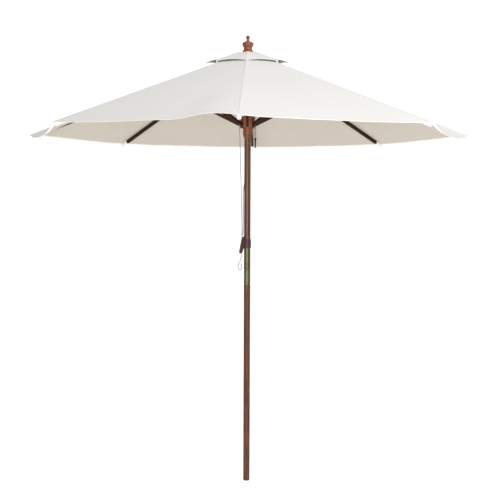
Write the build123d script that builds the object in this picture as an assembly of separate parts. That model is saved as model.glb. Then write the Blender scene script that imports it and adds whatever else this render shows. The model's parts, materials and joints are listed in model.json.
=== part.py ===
"""Wooden market umbrella: two-piece pole, folding rib linkage, vented canopy, rope lift.

Millimetres. Origin at the centre of the pole's lower end, +Z up the pole, rib_1 towards -Y.
"""
from build123d import *
from math import atan2, cos, degrees, hypot, pi, radians, sin, sqrt, tan
import os

# Pole
POLE_RADIUS = 19.0
POLE_SPLIT_Z = 1285.0
POLE_SPLIT_GAP = 0.5
TENON_RADIUS = POLE_RADIUS - 1.6
SLEEVE_BOTTOM_Z = 1175.0
SLEEVE_TOP_Z = 1394.0
SLEEVE_WALL = 1.3
SLEEVE_FIT = 0.05
END_CHAMFER = 2.0
SLEEVE_SCREW_Z = 1198.0
SCREW_SHANK_RADIUS = 1.6
SCREW_HEAD_RADIUS = 3.2
SCREW_HEAD_HEIGHT = 1.8
SCREW_LENGTH = 11.0

# Linkage
RIB_COUNT = 8
STRUT_WIDTH = 12.0
RIB_SLOPE = 20.7
RIB_WIDTH = STRUT_WIDTH + 2.0
RIB_HEIGHT = 20.0
RIB_HINGE_RADIUS = POLE_RADIUS + 29.0
RIB_TIP_INSET = 16.0
STRUT_HEIGHT = 16.0
STRUT_PIN_REACH = 460.0
STRUT_PIN_DROP = RIB_HEIGHT / 2 + STRUT_HEIGHT / 2 + 2.0
RUNNER_PIVOT_RADIUS = POLE_RADIUS + 17.5
RUNNER_PIVOT_Z = 2107.0
PIN_RADIUS = 1.5
PIN_FIT = 0.06
SIDE_CLEARANCE = 0.5
PIVOT_CLEARANCE = 0.8

# Bracket that hangs each strut under its rib
BRACKET_WALL = 1.6
BRACKET_WEB = 1.0
BRACKET_LENGTH = 30.0
BRACKET_TOP = 5.0
BRACKET_FLOOR = 7.0

# Hub at the top of the pole
HUB_RADIUS = RIB_HINGE_RADIUS + 12.0
HUB_DEPTH = 56.0
HUB_NECK_RADIUS = POLE_RADIUS + 15.0
HUB_COVER = 3.0
HUB_SOCKET_DEPTH = 40.0
HUB_FIT = 0.05
HUB_WIRE_RADIUS = 2.0
HUB_EDGE_ROUND = 5.0

# Runner
RUNNER_FLANGE_RADIUS = RUNNER_PIVOT_RADIUS + 8.0
RUNNER_FLANGE_ABOVE = 53.0
RUNNER_FLANGE_BELOW = 14.0
RUNNER_BODY_RADIUS = POLE_RADIUS + 8.2
RUNNER_BODY_LENGTH = 35.0
RUNNER_TAPER_LENGTH = 22.0
RUNNER_END_RADIUS = POLE_RADIUS + 2.5
RUNNER_BORE_CLEARANCE = 0.5
RUNNER_EDGE_ROUND = 3.0
PIN_CHANNEL_SLACK = 3.2
STRUT_PIN_STICKOUT = 2.0

# Canopy
RIM_RADIUS = 1280.0
RIM_Z = 2051.0
FABRIC = 1.6
FABRIC_GAP = 1.8
GORE_SEAM_GAP = 0.3
VENT_OPENING_RADIUS = 120.0
VENT_RIM_RADIUS = 243.0
VENT_LIFT = 27.0
CROWN_RADIUS = 72.0
CROWN_RISE = 52.0
POCKET_LENGTH = 62.0
POCKET_WALL = 1.6
POCKET_GAP = 0.6

# Finial
FINIAL_FOOT_RADIUS = 34.0
FINIAL_SHOULDER_RADIUS = 30.5
FINIAL_WAIST_RADIUS = 23.0
FINIAL_NECK_RADIUS = 8.0
FINIAL_BALL_RADIUS = 11.5
FINIAL_HEIGHT = 104.0
FINIAL_FOOT_AT = 0.08
FINIAL_WAIST_AT = 0.26
FINIAL_SHOULDER_AT = 0.44
FINIAL_NECK_AT = 0.68
FINIAL_FOOT_UNDERCUT = 1.0
STUD_RADIUS = 4.0
STUD_IN_FINIAL = 40.0
STUD_IN_HUB = 12.0

# Pulley
PULLEY_Z = 2240.0
PULLEY_RADIUS = POLE_RADIUS - 2.0
PULLEY_SLOT_BOTTOM = 2188.0
PULLEY_SLOT_MARGIN = 4.0
PULLEY_AXLE_RADIUS = 2.5
ROPE_RADIUS = 2.5
PULLEY_WIDTH = 2 * ROPE_RADIUS + 3.0
PULLEY_SLOT_WIDTH = PULLEY_WIDTH + 1.4
ROPE_CLEARANCE = 0.15
GROOVE_DEPTH_SHARE = 0.7
ROPE_END_ABOVE = 8.0
ROPE_END_OUT = 15.0
ROPE_END_SIDE = 9.0
ROPE_STRAIGHT_IN = 30.0
ROPE_STRAIGHT_OUT = 24.0
ROPE_BEND_SLACK = 0.02
CORNER_SHARE = 0.45

# Locking pin
LOCK_HOLE_Z = 2030.0
LOCK_PIN_RADIUS = 4.0
LOCK_HOLE_CLEARANCE = 0.5
LOCK_PIN_LENGTH = 50.0
LOCK_KNOB_RADIUS = 7.0
LOCK_SIDE = -22.5
EYE_Z_OFFSET = 17.0
EYE_STEM_RADIUS = 1.2
EYE_STEM_DEPTH = 10.0
EYE_RING_RADIUS = 4.0
EYE_WIRE = 1.0
CHAIN_LINKS = 12
CHAIN_LINK_LENGTH = 9.0
CHAIN_LINK_WIDTH = 5.0
CHAIN_WIRE = 0.6
CHAIN_SLACK = 0.3
KNOB_SLOT_FLOOR = 1.5
LOCK_PIN_CHAMFER = 1.0

# Cleat
CLEAT_BOTTOM_Z = 1395.0
CLEAT_HEIGHT = 50.0
CLEAT_BAND_WALL = 3.4
CLEAT_BAND_FIT = 0.05
CLEAT_SIDE = -152.0
CLEAT_SCREW_RADIUS = 2.0
CLEAT_SCREW_LENGTH = 16.0
CLEAT_SCREW_SHARES = (0.28, 0.72)
CLEAT_BAND_ROUND = 1.2
CLEAT_HORN_WIDTH = 10.0
CLEAT_HORN_ROUND = 2.0
CLEAT_UPPER_HORN_RISE = 16.0
CLEAT_UPPER_HORN_REACH = 8.0
CLEAT_WEB_REACH = 17.0
CLEAT_LOWER_HORN_DROP = 35.0
CLEAT_LOWER_HORN_REACH = 33.0
CLEAT_LOWER_HORN_THICK = 14.0

# Hole in the upper pole for the knotted end of the return rope
ROPE_HOLE_CLEARANCE = 0.3
ROPE_HOLE_BEND = 16.0

STEP = 360 / RIB_COUNT
HALF_STEP = STEP / 2
SLOPE = radians(RIB_SLOPE)


def rib_azimuth(index):
    """Azimuth in degrees of rib 1 to 8, counted from +X; rib 1 points to -Y."""
    return -90 + STEP * (index - 1)


def around(shape, index):
    """Turn a shape modelled along +X to the place of rib 1 to 8."""
    return Rot(0, 0, rib_azimuth(index)) * shape


def cylinder_z(radius, bottom, top):
    return Pos(0, 0, (bottom + top) / 2) * Cylinder(radius, top - bottom)


def cylinder_y(radius, length, x, z):
    return Pos(x, 0, z) * Rot(90, 0, 0) * Cylinder(radius, length)


def box_between(x0, x1, width, z0, z1):
    """Box from x0 to x1 and z0 to z1, centred on y = 0."""
    return Pos((x0 + x1) / 2, 0, (z0 + z1) / 2) * Box(x1 - x0, width, z1 - z0)


def turned(points):
    """Solid of revolution about Z from (radius, height) points."""
    return revolve(make_face(Polyline(*[(r, 0, z) for r, z in points], close=True)), Axis.Z)


def bow(radius, width):
    """How far a ring bows away from a straight hole as long as width."""
    return radius - sqrt(radius ** 2 - (width / 2) ** 2)


# Places worked out from the sizes above
RIB_TIP_RADIUS = RIM_RADIUS - RIB_TIP_INSET
VENT_RIM_Z = RIM_Z + (RIM_RADIUS - VENT_RIM_RADIUS) * tan(SLOPE) + VENT_LIFT
CROWN_Z = VENT_RIM_Z + CROWN_RISE
FABRIC_LIFT = (RIB_HEIGHT / 2 + FABRIC_GAP + FABRIC) / cos(SLOPE)
RIB_HINGE_Z = RIM_Z + (RIM_RADIUS - RIB_HINGE_RADIUS) * tan(SLOPE) - FABRIC_LIFT
RIB_LENGTH = (RIB_TIP_RADIUS - RIB_HINGE_RADIUS) / cos(SLOPE)
STRUT_TOP_R = RIB_HINGE_RADIUS + STRUT_PIN_REACH * cos(SLOPE) - STRUT_PIN_DROP * sin(SLOPE)
STRUT_TOP_Z = RIB_HINGE_Z - STRUT_PIN_REACH * sin(SLOPE) - STRUT_PIN_DROP * cos(SLOPE)
STRUT_RUN = STRUT_TOP_R - RUNNER_PIVOT_RADIUS
STRUT_RISE = STRUT_TOP_Z - RUNNER_PIVOT_Z
STRUT_LENGTH = hypot(STRUT_RUN, STRUT_RISE)
STRUT_SLOPE = degrees(atan2(STRUT_RISE, STRUT_RUN))
HUB_TOP_Z = CROWN_Z - FABRIC
HUB_BOTTOM_Z = HUB_TOP_Z - HUB_DEPTH
UPPER_POLE_TOP_Z = HUB_BOTTOM_Z + HUB_SOCKET_DEPTH
SLEEVE_RADIUS = TENON_RADIUS + SLEEVE_FIT + SLEEVE_WALL
GROOVE_RADIUS = PULLEY_RADIUS - 2 * ROPE_RADIUS * GROOVE_DEPTH_SHARE
ROPE_TURN_RADIUS = GROOVE_RADIUS + ROPE_RADIUS + ROPE_CLEARANCE


def lower_pole():
    body = cylinder_z(POLE_RADIUS, 0, SLEEVE_BOTTOM_Z)
    body = chamfer(body.faces().sort_by(Axis.Z)[0].edges(), END_CHAMFER)
    body += cylinder_z(TENON_RADIUS, SLEEVE_BOTTOM_Z, POLE_SPLIT_Z)
    for side in (0, 180):
        body -= Rot(0, 0, side) * screw_solid(SLEEVE_RADIUS, SLEEVE_SCREW_Z)
    return body


def pole_sleeve():
    tube = cylinder_z(SLEEVE_RADIUS, SLEEVE_BOTTOM_Z, SLEEVE_TOP_Z)
    tube -= cylinder_z(TENON_RADIUS + SLEEVE_FIT, SLEEVE_BOTTOM_Z, SLEEVE_TOP_Z)
    for side in (0, 180):
        tube -= Rot(0, 0, side) * screw_solid(SLEEVE_RADIUS, SLEEVE_SCREW_Z)
    return tube


def screw_solid(surface, height):
    """Pan-head screw driven in along -X from a surface at x = surface."""
    shank = Rot(0, 90, 0) * Cylinder(SCREW_SHANK_RADIUS, SCREW_LENGTH)
    head = Rot(0, 90, 0) * Cylinder(SCREW_HEAD_RADIUS, SCREW_HEAD_HEIGHT)
    seat = surface - SLEEVE_WALL / 2
    return Pos(seat - SCREW_LENGTH / 2, 0, height) * shank + (
        Pos(seat + SCREW_HEAD_HEIGHT / 2, 0, height) * head
    )


def sleeve_screws():
    return [Rot(0, 0, side) * screw_solid(SLEEVE_RADIUS, SLEEVE_SCREW_Z) for side in (0, 180)]


def upper_pole():
    body = cylinder_z(TENON_RADIUS, POLE_SPLIT_Z + POLE_SPLIT_GAP, SLEEVE_TOP_Z)
    body += cylinder_z(POLE_RADIUS, SLEEVE_TOP_Z, UPPER_POLE_TOP_Z)
    slot_top = PULLEY_Z + PULLEY_RADIUS + PULLEY_SLOT_MARGIN
    slot = box_between(-2 * POLE_RADIUS, 2 * POLE_RADIUS, PULLEY_SLOT_WIDTH, PULLEY_SLOT_BOTTOM, slot_top)
    body -= slot
    body -= cylinder_y(PULLEY_AXLE_RADIUS, 3 * POLE_RADIUS, 0, PULLEY_Z)
    body -= Pos(0, 0, LOCK_HOLE_Z) * Rot(0, 90, 0) * Cylinder(
        LOCK_PIN_RADIUS + LOCK_HOLE_CLEARANCE, 3 * POLE_RADIUS
    )
    for height in cleat_screw_heights():
        body -= Rot(0, 0, CLEAT_SIDE + 180) * cleat_screw(height)
    return body - rope_hole()


def top_hub():
    body = cylinder_z(HUB_RADIUS, HUB_BOTTOM_Z + HUB_DEPTH / 3, HUB_TOP_Z)
    body = fillet(body.faces().sort_by(Axis.Z)[-1].edges(), HUB_EDGE_ROUND)
    body += Pos(0, 0, HUB_BOTTOM_Z + HUB_DEPTH / 6) * Cone(HUB_NECK_RADIUS, HUB_RADIUS, HUB_DEPTH / 3)
    body -= cylinder_z(POLE_RADIUS + HUB_FIT, HUB_BOTTOM_Z, UPPER_POLE_TOP_Z)
    body -= cylinder_z(STUD_RADIUS, HUB_TOP_Z - STUD_IN_HUB, HUB_TOP_Z)
    slot_start = RIB_HINGE_RADIUS - RIB_HEIGHT / 2 - PIVOT_CLEARANCE
    slot = box_between(
        slot_start, 2 * HUB_RADIUS, RIB_WIDTH + 2 * SIDE_CLEARANCE,
        HUB_BOTTOM_Z - HUB_DEPTH, HUB_TOP_Z - HUB_COVER,
    )
    for index in range(1, RIB_COUNT + 1):
        body -= around(slot, index)
    body -= hub_wire()
    return body


def hub_wire():
    return Pos(0, 0, RIB_HINGE_Z) * Torus(RIB_HINGE_RADIUS, HUB_WIRE_RADIUS)


def crown_patch():
    octagon = RegularPolygon(CROWN_RADIUS - GORE_SEAM_GAP, RIB_COUNT)
    patch = Pos(0, 0, CROWN_Z - FABRIC) * extrude(octagon, FABRIC)
    return patch - cylinder_z(STUD_RADIUS, CROWN_Z - FABRIC, CROWN_Z)


def finial():
    """Turned knob: flared foot, waist, shoulder, neck and a small ball."""
    base = CROWN_Z
    ball = base + FINIAL_HEIGHT - FINIAL_BALL_RADIUS
    foot = base + FINIAL_FOOT_AT * FINIAL_HEIGHT
    waist = base + FINIAL_WAIST_AT * FINIAL_HEIGHT
    shoulder = base + FINIAL_SHOULDER_AT * FINIAL_HEIGHT
    neck = base + FINIAL_NECK_AT * FINIAL_HEIGHT
    profile = [
        Line((0, 0, base), (FINIAL_FOOT_RADIUS - FINIAL_FOOT_UNDERCUT, 0, base)),
        Spline(
            (FINIAL_FOOT_RADIUS - FINIAL_FOOT_UNDERCUT, 0, base),
            (FINIAL_FOOT_RADIUS, 0, foot),
            (FINIAL_WAIST_RADIUS, 0, waist),
            (FINIAL_SHOULDER_RADIUS, 0, shoulder),
            (FINIAL_NECK_RADIUS, 0, neck),
        ),
        Line((FINIAL_NECK_RADIUS, 0, neck), (FINIAL_NECK_RADIUS, 0, ball)),
        Line((FINIAL_NECK_RADIUS, 0, ball), (0, 0, ball)),
        Line((0, 0, ball), (0, 0, base)),
    ]
    body = revolve(make_face(profile), Axis.Z)
    body += Pos(0, 0, ball) * Sphere(FINIAL_BALL_RADIUS)
    return body - cylinder_z(STUD_RADIUS, base, base + STUD_IN_FINIAL)


def finial_stud():
    return cylinder_z(STUD_RADIUS, HUB_TOP_Z - STUD_IN_HUB, CROWN_Z + STUD_IN_FINIAL)


def bar(length, width, height, extra):
    """Bar along +X from a rounded end about the origin, square past the far end by extra."""
    body = box_between(0, length + extra, width, -height / 2, height / 2)
    return body + cylinder_y(height / 2, width, 0, 0)


def to_rib(shape):
    """Place a shape modelled along +X from the rib's hinge at the rib's slope."""
    return Pos(RIB_HINGE_RADIUS, 0, RIB_HINGE_Z) * Rot(0, RIB_SLOPE, 0) * shape


def rib():
    body = bar(RIB_LENGTH, RIB_WIDTH, RIB_HEIGHT, 0)
    hole = HUB_WIRE_RADIUS + bow(RIB_HINGE_RADIUS, RIB_WIDTH) + PIVOT_CLEARANCE / 2
    body -= cylinder_y(hole, 2 * RIB_WIDTH, 0, 0)
    body -= cylinder_y(PIN_RADIUS, 2 * RIB_WIDTH, STRUT_PIN_REACH, 0)
    return to_rib(body)


def rib_bracket():
    """Channel that hugs the rib's sides, with a rivet above and the strut's pin below."""
    start = STRUT_PIN_REACH - BRACKET_LENGTH / 2
    end = STRUT_PIN_REACH + BRACKET_LENGTH / 2
    floor = -STRUT_PIN_DROP - BRACKET_FLOOR
    outer = box_between(start, end, RIB_WIDTH + 2 * BRACKET_WALL, floor, BRACKET_TOP)
    body = outer - box_between(start, end, RIB_WIDTH, -RIB_HEIGHT / 2, BRACKET_TOP)
    body -= box_between(start, end, RIB_WIDTH, floor, -RIB_HEIGHT / 2 - BRACKET_WEB)
    pin_length = RIB_WIDTH + 4 * BRACKET_WALL
    body += cylinder_y(PIN_RADIUS, pin_length, STRUT_PIN_REACH, 0)
    body += cylinder_y(PIN_RADIUS, pin_length, STRUT_PIN_REACH, -STRUT_PIN_DROP)
    return to_rib(body)


def to_strut(shape):
    """Place a shape modelled along +X from the strut's runner end at the strut's slope."""
    return Pos(RUNNER_PIVOT_RADIUS, 0, RUNNER_PIVOT_Z) * Rot(0, -STRUT_SLOPE, 0) * shape


def strut():
    body = bar(STRUT_LENGTH, STRUT_WIDTH, STRUT_HEIGHT, 0)
    body += cylinder_y(STRUT_HEIGHT / 2, STRUT_WIDTH, STRUT_LENGTH, 0)
    body -= cylinder_y(PIN_RADIUS, 2 * STRUT_WIDTH, 0, 0)
    body -= cylinder_y(PIN_RADIUS + PIN_FIT, 2 * STRUT_WIDTH, STRUT_LENGTH, 0)
    return to_strut(body)


def strut_pin():
    return to_strut(cylinder_y(PIN_RADIUS, STRUT_WIDTH + 2 * STRUT_PIN_STICKOUT, 0, 0))


def runner():
    flange_top = RUNNER_PIVOT_Z + RUNNER_FLANGE_ABOVE
    flange_bottom = RUNNER_PIVOT_Z - RUNNER_FLANGE_BELOW
    body_bottom = flange_bottom - RUNNER_BODY_LENGTH
    end = body_bottom - RUNNER_TAPER_LENGTH
    body = cylinder_z(RUNNER_FLANGE_RADIUS, flange_bottom, flange_top)
    body = fillet(body.edges().filter_by(GeomType.CIRCLE), RUNNER_EDGE_ROUND)
    body += cylinder_z(RUNNER_BODY_RADIUS, body_bottom, flange_bottom)
    body += Pos(0, 0, (body_bottom + end) / 2) * Cone(
        RUNNER_END_RADIUS, RUNNER_BODY_RADIUS, RUNNER_TAPER_LENGTH
    )
    body -= cylinder_z(POLE_RADIUS + RUNNER_BORE_CLEARANCE, end, flange_top)
    slot_start = RUNNER_PIVOT_RADIUS - STRUT_HEIGHT / 2 - PIVOT_CLEARANCE
    slot_width = STRUT_WIDTH + 2 * SIDE_CLEARANCE
    slot = box_between(slot_start, 2 * RUNNER_FLANGE_RADIUS, slot_width, flange_bottom, flange_top)
    reach = PIN_RADIUS + PIN_CHANNEL_SLACK
    channel_width = STRUT_WIDTH + 2 * STRUT_PIN_STICKOUT + 2 * SIDE_CLEARANCE
    channel = box_between(
        RUNNER_PIVOT_RADIUS - reach, RUNNER_PIVOT_RADIUS + reach,
        channel_width, flange_bottom, flange_top,
    )
    for index in range(1, RIB_COUNT + 1):
        body -= around(slot, index)
        body -= around(channel, index)
    return body - pin_eye_stem()


def panel_height(rim_radius, rim_height, slope_tangent):
    """Height of a flat panel as a function of the distance along its middle line."""
    rise = slope_tangent / cos(radians(HALF_STEP))
    middle = rim_radius * cos(radians(HALF_STEP))
    return lambda along: rim_height + (middle - along) * rise


def gore(inner_radius, rim_radius, rim_height, slope_tangent):
    """Two half panels that meet in a ridge along +X, cut on the panels' middle lines."""
    height = panel_height(rim_radius, rim_height, slope_tangent)
    half = radians(HALF_STEP)
    near = inner_radius * cos(half)
    far = rim_radius * cos(half)
    section = [(near, height(near)), (far, height(far)), (far, height(far) - FABRIC), (near, height(near) - FABRIC)]
    face = make_face(Polyline(*[(u, 0, z) for u, z in section], close=True))
    slab = Rot(0, 0, HALF_STEP) * extrude(face, rim_radius, both=True)
    seam = GORE_SEAM_GAP / 2
    plan = Polyline(
        (near * cos(half) + seam * sin(half), near * sin(half) - seam * cos(half)),
        (inner_radius, 0),
        (rim_radius, 0),
        (far * cos(half) + seam * sin(half), far * sin(half) - seam * cos(half)),
        close=True,
    )
    wedge = extrude(make_face(plan), 2 * rim_height)
    one_side = slab & wedge
    return one_side + mirror(one_side, Plane.XZ)


def corner_pocket():
    """Sewn pocket under the rim that holds the rib's tip."""
    wall = POCKET_WALL + POCKET_GAP
    inner_width = RIB_WIDTH + 2 * POCKET_GAP
    inside = box_between(
        RIB_LENGTH - POCKET_LENGTH, RIB_LENGTH + POCKET_GAP, inner_width,
        -RIB_HEIGHT / 2 - POCKET_GAP, RIB_HEIGHT,
    )
    outside = box_between(
        RIB_LENGTH - POCKET_LENGTH + POCKET_WALL, RIB_LENGTH + wall, inner_width + 2 * POCKET_WALL,
        -RIB_HEIGHT / 2 - wall, RIB_HEIGHT / 2 + FABRIC_GAP / 2,
    )
    return to_rib(outside - inside)


def canopy_gore():
    """Main gore with its corner pocket, and the vent cap's gore above it."""
    main = gore(VENT_OPENING_RADIUS, RIM_RADIUS, RIM_Z, tan(SLOPE)) + corner_pocket()
    return main + vent_gore()


def vent_gore():
    slope_tangent = (CROWN_Z - VENT_RIM_Z) / (VENT_RIM_RADIUS - CROWN_RADIUS)
    return gore(CROWN_RADIUS, VENT_RIM_RADIUS, VENT_RIM_Z, slope_tangent)


def pulley_wheel():
    half = PULLEY_WIDTH / 2
    wheel = turned([
        (PULLEY_AXLE_RADIUS + PIN_FIT, -half), (PULLEY_RADIUS, -half), (GROOVE_RADIUS, -half / 4),
        (GROOVE_RADIUS, half / 4), (PULLEY_RADIUS, half), (PULLEY_AXLE_RADIUS + PIN_FIT, half),
    ])
    wheel -= Torus(GROOVE_RADIUS + ROPE_RADIUS, ROPE_RADIUS + ROPE_CLEARANCE / 2)
    return Pos(0, 0, PULLEY_Z) * Rot(90, 0, 0) * wheel


def pulley_axle():
    return cylinder_y(PULLEY_AXLE_RADIUS, 2 * (POLE_RADIUS - 1), 0, PULLEY_Z)


def to_lock_side(shape):
    """Place a shape modelled along +X at the locking pin's side of the runner."""
    return Rot(0, 0, LOCK_SIDE) * shape


EYE_CENTRE_R = RUNNER_FLANGE_RADIUS + EYE_RING_RADIUS + EYE_WIRE
EYE_Z = RUNNER_PIVOT_Z + EYE_Z_OFFSET


def pin_eye_stem():
    length = EYE_STEM_DEPTH + EYE_WIRE
    centre = RUNNER_FLANGE_RADIUS + EYE_WIRE - length / 2
    stem = Pos(centre, 0, EYE_Z) * Rot(0, 90, 0) * Cylinder(EYE_STEM_RADIUS, length)
    return to_lock_side(stem)


def pin_eye():
    ring = Pos(EYE_CENTRE_R, 0, EYE_Z) * Rot(90, 0, 0) * Torus(EYE_RING_RADIUS, EYE_WIRE)
    return pin_eye_stem() + to_lock_side(ring)


CHAIN_PITCH = CHAIN_LINK_LENGTH - 2 * CHAIN_WIRE - CHAIN_SLACK
CHAIN_TOP_Z = EYE_Z - EYE_RING_RADIUS + EYE_WIRE + 2 * CHAIN_WIRE + CHAIN_SLACK
KNOB_TOP_Z = CHAIN_TOP_Z - CHAIN_LINKS * CHAIN_PITCH - CHAIN_WIRE


def chain_link(top, quarter):
    """Long link hanging from its top point."""
    bend = CHAIN_LINK_WIDTH / 2 - CHAIN_WIRE
    middle = CHAIN_LINK_LENGTH / 2 - CHAIN_WIRE - bend
    path = SlotOverall(2 * (middle + bend), 2 * bend).face().outer_wire()
    profile = Plane(path @ 0, z_dir=path % 0) * Circle(CHAIN_WIRE)
    link = sweep(profile, path)
    upright = Rot(0, 0, quarter) * Rot(90, 0, 0) * Rot(0, 0, 90) * link
    return Pos(EYE_CENTRE_R, 0, top - CHAIN_LINK_LENGTH / 2) * upright


def pin_chain():
    links = []
    for number in range(CHAIN_LINKS):
        quarter = 90 if number % 2 == 0 else 0
        links.append(to_lock_side(chain_link(CHAIN_TOP_Z - number * CHAIN_PITCH, quarter)))
    return links


def locking_pin():
    """Steel pin under a turned knob; the last chain link passes through a slot in the knob."""
    knob_z = KNOB_TOP_Z - LOCK_KNOB_RADIUS + CHAIN_LINK_LENGTH / 3
    body = Pos(EYE_CENTRE_R, 0, knob_z) * Sphere(LOCK_KNOB_RADIUS)
    body += Pos(EYE_CENTRE_R, 0, knob_z - LOCK_PIN_LENGTH / 2) * Cylinder(LOCK_PIN_RADIUS, LOCK_PIN_LENGTH)
    link_room = LOCK_KNOB_RADIUS - KNOB_SLOT_FLOOR
    body -= Pos(EYE_CENTRE_R, 0, knob_z + LOCK_KNOB_RADIUS) * Box(
        CHAIN_LINK_WIDTH + 2 * SIDE_CLEARANCE, CHAIN_LINK_WIDTH + 2 * SIDE_CLEARANCE, 2 * link_room
    )
    tip = body.faces().sort_by(Axis.Z)[0].edges()
    return to_lock_side(chamfer(tip, LOCK_PIN_CHAMFER))


def cleat_screw_heights():
    return [CLEAT_BOTTOM_Z + share * CLEAT_HEIGHT for share in CLEAT_SCREW_SHARES]


def cleat_screw(height):
    outside = POLE_RADIUS + CLEAT_BAND_WALL
    shank = Pos(outside - CLEAT_SCREW_LENGTH / 2, 0, height) * Rot(0, 90, 0) * Cylinder(
        CLEAT_SCREW_RADIUS, CLEAT_SCREW_LENGTH
    )
    head = Pos(outside + SCREW_HEAD_HEIGHT / 2, 0, height) * Rot(0, 90, 0) * Cylinder(
        SCREW_HEAD_RADIUS, SCREW_HEAD_HEIGHT
    )
    return shank + head


def cleat_screws():
    return [Rot(0, 0, CLEAT_SIDE + 180) * cleat_screw(height) for height in cleat_screw_heights()]


def cleat():
    """Band about the pole with a short upper horn and a long lower horn that flares out."""
    top = CLEAT_BOTTOM_Z + CLEAT_HEIGHT
    inner = POLE_RADIUS + CLEAT_BAND_FIT
    outer = POLE_RADIUS + CLEAT_BAND_WALL
    band = cylinder_z(outer, CLEAT_BOTTOM_Z, top)
    rims = band.edges().filter_by(GeomType.CIRCLE)
    band = fillet(rims, CLEAT_BAND_ROUND)
    horn_top = top + CLEAT_UPPER_HORN_RISE
    horn_bottom = CLEAT_BOTTOM_Z - CLEAT_LOWER_HORN_DROP
    lip = inner + CLEAT_LOWER_HORN_REACH
    side = [
        (inner, top - CLEAT_UPPER_HORN_RISE), (inner + CLEAT_HORN_ROUND / 2, horn_top),
        (inner + CLEAT_UPPER_HORN_REACH, horn_top), (inner + CLEAT_WEB_REACH, top),
        (lip, horn_bottom + CLEAT_LOWER_HORN_THICK / 2), (lip - CLEAT_LOWER_HORN_THICK, horn_bottom),
        (inner + CLEAT_UPPER_HORN_REACH / 2, CLEAT_BOTTOM_Z), (inner, CLEAT_BOTTOM_Z + CLEAT_UPPER_HORN_REACH),
    ]
    outline = make_face(Polyline(*[(x, 0, z) for x, z in side], close=True))
    horns = extrude(outline, CLEAT_HORN_WIDTH / 2, both=True)
    horns = fillet(horns.edges().filter_by(Axis.Y), CLEAT_HORN_ROUND)
    body = band + Rot(0, 0, CLEAT_SIDE) * horns
    body -= cylinder_z(inner, horn_bottom, horn_top)
    for height in cleat_screw_heights():
        body -= Rot(0, 0, CLEAT_SIDE + 180) * cleat_screw(height)
    return body


# Rope routes, top to bottom, as points chosen by hand for a pole of this radius
ROUTE_POLE_RADIUS = 19.0
LIFT_ROPE_HANG = [
    (-36.0, -12.5, 2196.0), (-46.0, -18.4, 2162.0), (-46.3, -19.4, 2110.0), (-44.6, -19.9, 2046.0),
    (-42.6, -20.3, 1983.0), (-41.1, -20.8, 1919.0), (-39.2, -21.2, 1855.0), (-37.0, -21.5, 1791.0),
    (-34.9, -21.7, 1727.0), (-33.2, -21.9, 1663.0), (-31.7, -22.0, 1599.0), (-30.5, -22.0, 1535.0),
    (-29.6, -21.8, 1490.0), (-31.8, -21.6, 1449.0),
]


def beside_pole(points):
    """The points, moved out or in so that each keeps its gap to the pole."""
    moved = []
    for x, y, z in points:
        share = 1 + (POLE_RADIUS - ROUTE_POLE_RADIUS) / hypot(x, y)
        moved.append((x * share, y * share, z))
    return moved


def tube(points, radii):
    path = FilletPolyline(*points, radius=radii)
    start = Plane(path @ 0, z_dir=path % 0)
    return sweep(start * Circle(ROPE_RADIUS), path), path


def corner_radii(points, tight):
    """Largest arc each corner's two runs allow; tight maps a corner number to its own radius."""
    radii = []
    for number in range(1, len(points) - 1):
        before = Vector(*points[number]) - Vector(*points[number - 1])
        after = Vector(*points[number + 1]) - Vector(*points[number])
        turn = radians(before.get_angle(after))
        widest = CORNER_SHARE * min(before.length, after.length) / tan(turn / 2)
        radii.append(tight.get(number, widest))
    return radii


def checked_rope(name, points, tight):
    radii = corner_radii(points, tight)
    body, path = tube(points, radii)
    expected = pi * ROPE_RADIUS ** 2 * path.length
    print(name, "radii", [round(radius, 1) for radius in radii])
    print(name, "length", round(path.length, 1), "volume ratio", round(body.volume / expected, 4))
    return body


def pull_rope():
    over = PULLEY_Z + ROPE_TURN_RADIUS
    turn = ROPE_TURN_RADIUS
    top = [
        (turn + ROPE_END_OUT, ROPE_END_SIDE, RUNNER_PIVOT_Z + RUNNER_FLANGE_ABOVE + ROPE_END_ABOVE),
        (turn, 0, PULLEY_Z - ROPE_STRAIGHT_IN), (turn, 0, over), (-turn, 0, over),
        (-turn, 0, PULLEY_Z - ROPE_STRAIGHT_OUT),
    ]
    points = top + beside_pole(LIFT_ROPE_HANG)
    bend = turn - ROPE_BEND_SLACK
    return checked_rope("pull_rope", points, {2: bend, 3: bend})


LOOP_POINTS = [
    (-34.5, -23.5, 1357.0), (-33.5, -24.0, 1338.0), (-38.5, -23.0, 1321.0), (-48.5, -21.5, 1304.0),
    (-53.5, -20.8, 1287.0), (-51.0, -20.5, 1267.0), (-36.0, -21.0, 1262.0), (-32.0, -22.8, 1280.0),
    (-32.5, -24.0, 1300.0),
]
RETURN_POINTS = [
    (-3.0, 10.0, 1830.0), (-11.8, 22.8, 1800.0), (-19.8, 13.8, 1765.0), (-23.4, 4.0, 1728.0),
    (-23.8, -2.0, 1685.0), (-23.7, -5.0, 1630.0), (-23.6, -6.0, 1572.0), (-23.6, -6.5, 1520.0),
    (-24.5, -8.0, 1465.0),
]


def rope_hole():
    """Slanting hole that the knotted end of the return rope comes out of."""
    first, second = beside_pole(RETURN_POINTS)[:2]
    start = Vector(*first)
    run = Vector(*second) - start
    plane = Plane(start - run, z_dir=run)
    return extrude(plane * Circle(ROPE_RADIUS + ROPE_HOLE_CLEARANCE), 2 * run.length)


def return_rope():
    return checked_rope("return_rope", beside_pole(RETURN_POINTS), {1: ROPE_HOLE_BEND})


def rope_tail():
    return checked_rope("rope_tail", beside_pole(LOOP_POINTS), {})


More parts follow.
